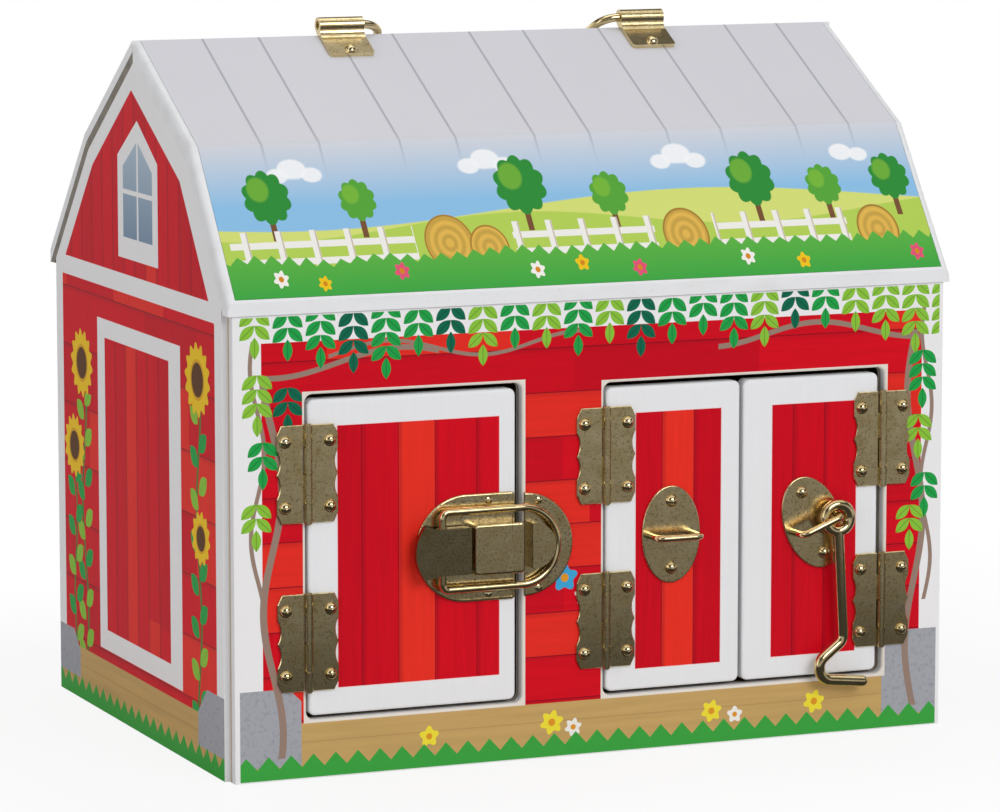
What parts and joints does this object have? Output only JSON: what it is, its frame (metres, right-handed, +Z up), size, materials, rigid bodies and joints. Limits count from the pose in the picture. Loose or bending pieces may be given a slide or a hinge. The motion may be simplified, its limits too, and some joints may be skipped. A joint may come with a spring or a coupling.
{
  "type": "toy barn with opening doors",
  "caption": "Wooden toy barn with a gambrel roof, hinged front doors, brass draw latch, hook and eye, and a folding carry handle.",
  "frame": {"origin": "middle of the underside, on the floor", "axes": "+X to the right along the front wall, the longest way; +Y from the front wall to the back; +Z up"},
  "size_m": [0.284, 0.2142, 0.2645],
  "materials": {
    "printed_front": "satin",
    "printed_gable": "satin",
    "printed_door": "satin",
    "printed_roof": "satin",
    "painted_back": "satin",
    "painted_rim": "satin",
    "raw_wood": "matte",
    "brass": "polished"
  },
  "bodies": {
    "barn": {"floor_board": "raw_wood", "front_panel": "printed_front", "back_panel": "painted_back", "left_gable": "printed_gable", "right_gable": "printed_gable", "front_roof_lower_board": "painted_rim", "front_roof_upper_board": "painted_rim", "front_roof_sheet": "printed_roof", "back_roof_lower_board": "raw_wood", "back_roof_upper_board": "raw_wood", "back_roof_skin": "painted_rim", "handle_clip_left": "brass", "handle_clip_right": "brass", "clip_screws": "brass", "latch_keeper": "brass", "latch_keeper_screws": "brass", "wall_hinge_nails": "brass", "left_door_wall_leaf_upper": "brass", "left_door_wall_leaf_lower": "brass", "pair_left_wall_leaf_upper": "brass", "pair_left_wall_leaf_lower": "brass", "pair_right_wall_leaf_upper": "brass", "pair_right_wall_leaf_lower": "brass", "left_door_hinge_pin_upper": "brass", "left_door_hinge_pin_lower": "brass", "pair_left_hinge_pin_upper": "brass", "pair_left_hinge_pin_lower": "brass", "pair_right_hinge_pin_upper": "brass", "pair_right_hinge_pin_lower": "brass"},
    "left_door": {"left_door_panel": "printed_door", "left_door_leaf_upper": "brass", "left_door_leaf_lower": "brass", "left_door_nails": "brass", "latch_base": "brass", "latch_base_screws": "brass", "latch_pin": "brass"},
    "latch_lever": {"latch_lever": "brass"},
    "latch_bail": {"latch_bail": "brass"},
    "pair_left_door": {"pair_left_panel": "printed_door", "pair_left_leaf_upper": "brass", "pair_left_leaf_lower": "brass", "pair_left_nails": "brass", "pair_left_eye_plate": "brass", "pair_left_staple": "brass", "pair_left_eye_nails": "brass"},
    "pair_right_door": {"pair_right_panel": "printed_door", "pair_right_leaf_upper": "brass", "pair_right_leaf_lower": "brass", "pair_right_nails": "brass", "pair_right_eye_plate": "brass", "pair_right_staple": "brass", "pair_right_eye_nails": "brass"},
    "cabin_hook": {"cabin_hook": "brass"},
    "carry_handle": {"carry_handle": "brass"}
  },
  "joints": [
    {"name": "left_door_hinge", "type": "hinge", "parent": "barn", "child": "left_door", "pos_m": [-0.1125, -0.1025, 0.08], "axis": [0, 0, -1], "range_deg": [0, 150]},
    {"name": "latch_lever_hinge", "type": "hinge", "parent": "left_door", "child": "latch_lever", "pos_m": [-0.0545, -0.1056, 0.0794], "axis": [0, 0, 1], "range_deg": [0, 100]},
    {"name": "latch_bail_hinge", "type": "hinge", "parent": "latch_lever", "child": "latch_bail", "pos_m": [-0.0625, -0.1056, 0.0794], "axis": [0, 0, 1], "range_deg": [-100, 0]},
    {"name": "pair_left_door_hinge", "type": "hinge", "parent": "barn", "child": "pair_left_door", "pos_m": [0.003, -0.1025, 0.08], "axis": [0, 0, -1], "range_deg": [0, 120]},
    {"name": "pair_right_door_hinge", "type": "hinge", "parent": "barn", "child": "pair_right_door", "pos_m": [0.11485, -0.1025, 0.08], "axis": [0, 0, 1], "range_deg": [0, 120]},
    {"name": "cabin_hook_swing", "type": "hinge", "parent": "pair_right_door", "child": "cabin_hook", "pos_m": [0.09429, -0.1066, 0.08335], "axis": [0, -1, 0], "range_deg": [0, 276]},
    {"name": "carry_handle_swing", "type": "hinge", "parent": "barn", "child": "carry_handle", "pos_m": [0, 0, 0.2615], "axis": [1, 0, 0], "range_deg": [0, 240]}
  ],
  "couplings": [
    {"joint": "latch_bail_hinge", "follows": "latch_lever_hinge", "ratio": -1}
  ]
}
